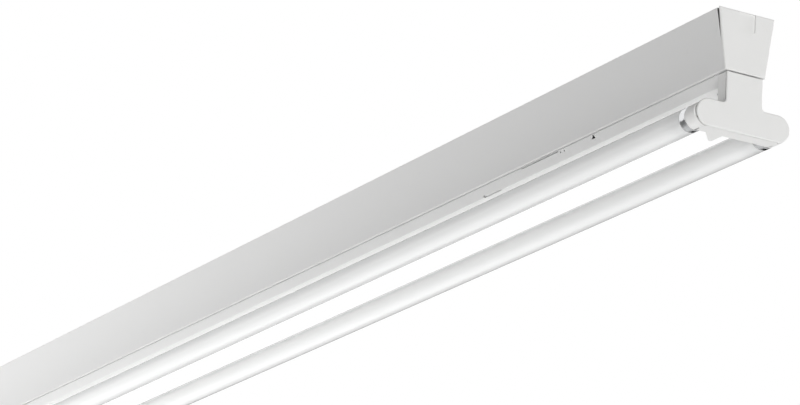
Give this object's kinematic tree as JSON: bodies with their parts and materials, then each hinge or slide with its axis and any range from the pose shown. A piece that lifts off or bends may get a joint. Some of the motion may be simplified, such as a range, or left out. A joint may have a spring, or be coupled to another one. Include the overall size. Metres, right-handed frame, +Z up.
{
  "type": "fluorescent batten ceiling light",
  "caption": "Long white shop light: a tapered steel spine with a snap-up gear tray, T-shaped end brackets and two bare straight tubes below.",
  "frame": {"origin": "centre of the spine's back, the face that lies on the ceiling", "axes": "+X along the lamps towards the right end, +Y across, +Z up into the ceiling"},
  "size_m": [1.8108, 0.1106, 0.1267],
  "materials": {
    "white_steel": "white powder coat, semi-gloss",
    "white_moulding": "moulded white plastic, satin",
    "rotor_plastic": "smooth white plastic",
    "terminal_plastic": "moulded off-white plastic",
    "grey_rubber": "dark rubber",
    "zinc_steel": "zinc-plated steel",
    "spring_steel": "bare spring steel",
    "natural_nylon": "natural nylon",
    "circuit_board": "green lacquered board",
    "ferrite": "dark ferrite and taped winding",
    "capacitor_sleeve": "dark shrink sleeve",
    "contact_brass": "bright brass",
    "lead_insulation": "smooth lead insulation",
    "phosphor_glass": "glass tube coated white inside",
    "clear_glass": "clear glass",
    "lamp_cap_metal": "satin metal cap",
    "pin_disc_plastic": "dark insulating disc",
    "tungsten": "dark coiled wire"
  },
  "bodies": {
    "spine": {"spine_channel": "white_steel", "mains_terminal_block": "terminal_plastic", "terminal_screws": "zinc_steel", "cable_grommet": "grey_rubber", "earth_stud": "zinc_steel", "earth_nut": "zinc_steel", "end_cap_right": "white_moulding", "end_cap_left": "white_moulding"},
    "gear": {"gear_tray": "white_steel", "tray_clips": "spring_steel", "wire_clips": "natural_nylon", "ballast_base": "zinc_steel", "ballast_lid": "zinc_steel", "ballast_board": "circuit_board", "ballast_coils": "ferrite", "ballast_capacitors": "capacitor_sleeve", "ballast_terminals": "terminal_plastic", "ballast_studs": "zinc_steel", "ballast_nuts": "zinc_steel", "gear_plug": "terminal_plastic", "plug_blades": "contact_brass", "mains_leads": "lead_insulation", "bracket_cover_right": "white_moulding", "bracket_cover_left": "white_moulding", "bracket_housing_right": "white_moulding", "bracket_housing_left": "white_moulding", "bracket_screws_right": "zinc_steel", "bracket_screws_left": "zinc_steel", "holder_contacts_right": "contact_brass", "holder_contacts_left": "contact_brass", "lamp_leads_right": "lead_insulation", "lamp_leads_left": "lead_insulation", "lampholder_1_right": "white_moulding", "lampholder_1_left": "white_moulding", "lampholder_2_right": "white_moulding", "lampholder_2_left": "white_moulding"},
    "lamp_1": {"lamp_1_tube": "phosphor_glass", "lamp_1_cap_right": "lamp_cap_metal", "lamp_1_cap_left": "lamp_cap_metal", "lamp_1_pins": "contact_brass", "lamp_1_pin_discs": "pin_disc_plastic", "lamp_1_stems": "clear_glass", "lamp_1_cathodes": "tungsten", "rotor_1_right": "rotor_plastic", "rotor_1_left": "rotor_plastic"},
    "lamp_2": {"lamp_2_tube": "phosphor_glass", "lamp_2_cap_right": "lamp_cap_metal", "lamp_2_cap_left": "lamp_cap_metal", "lamp_2_pins": "contact_brass", "lamp_2_pin_discs": "pin_disc_plastic", "lamp_2_stems": "clear_glass", "lamp_2_cathodes": "tungsten", "rotor_2_right": "rotor_plastic", "rotor_2_left": "rotor_plastic"}
  },
  "joints": [
    {"name": "tray_drop", "type": "slide", "parent": "spine", "child": "gear", "axis": [0, 0, -1], "range_m": [0, 0.06]},
    {"name": "lamp_1_twist", "type": "hinge", "parent": "gear", "child": "lamp_1", "pos_m": [0, -0.0423, -0.1134], "axis": [1, 0, 0], "range_deg": [0, 90]},
    {"name": "lamp_2_twist", "type": "hinge", "parent": "gear", "child": "lamp_2", "pos_m": [0, 0.0423, -0.1134], "axis": [1, 0, 0], "range_deg": [0, 90]}
  ]
}
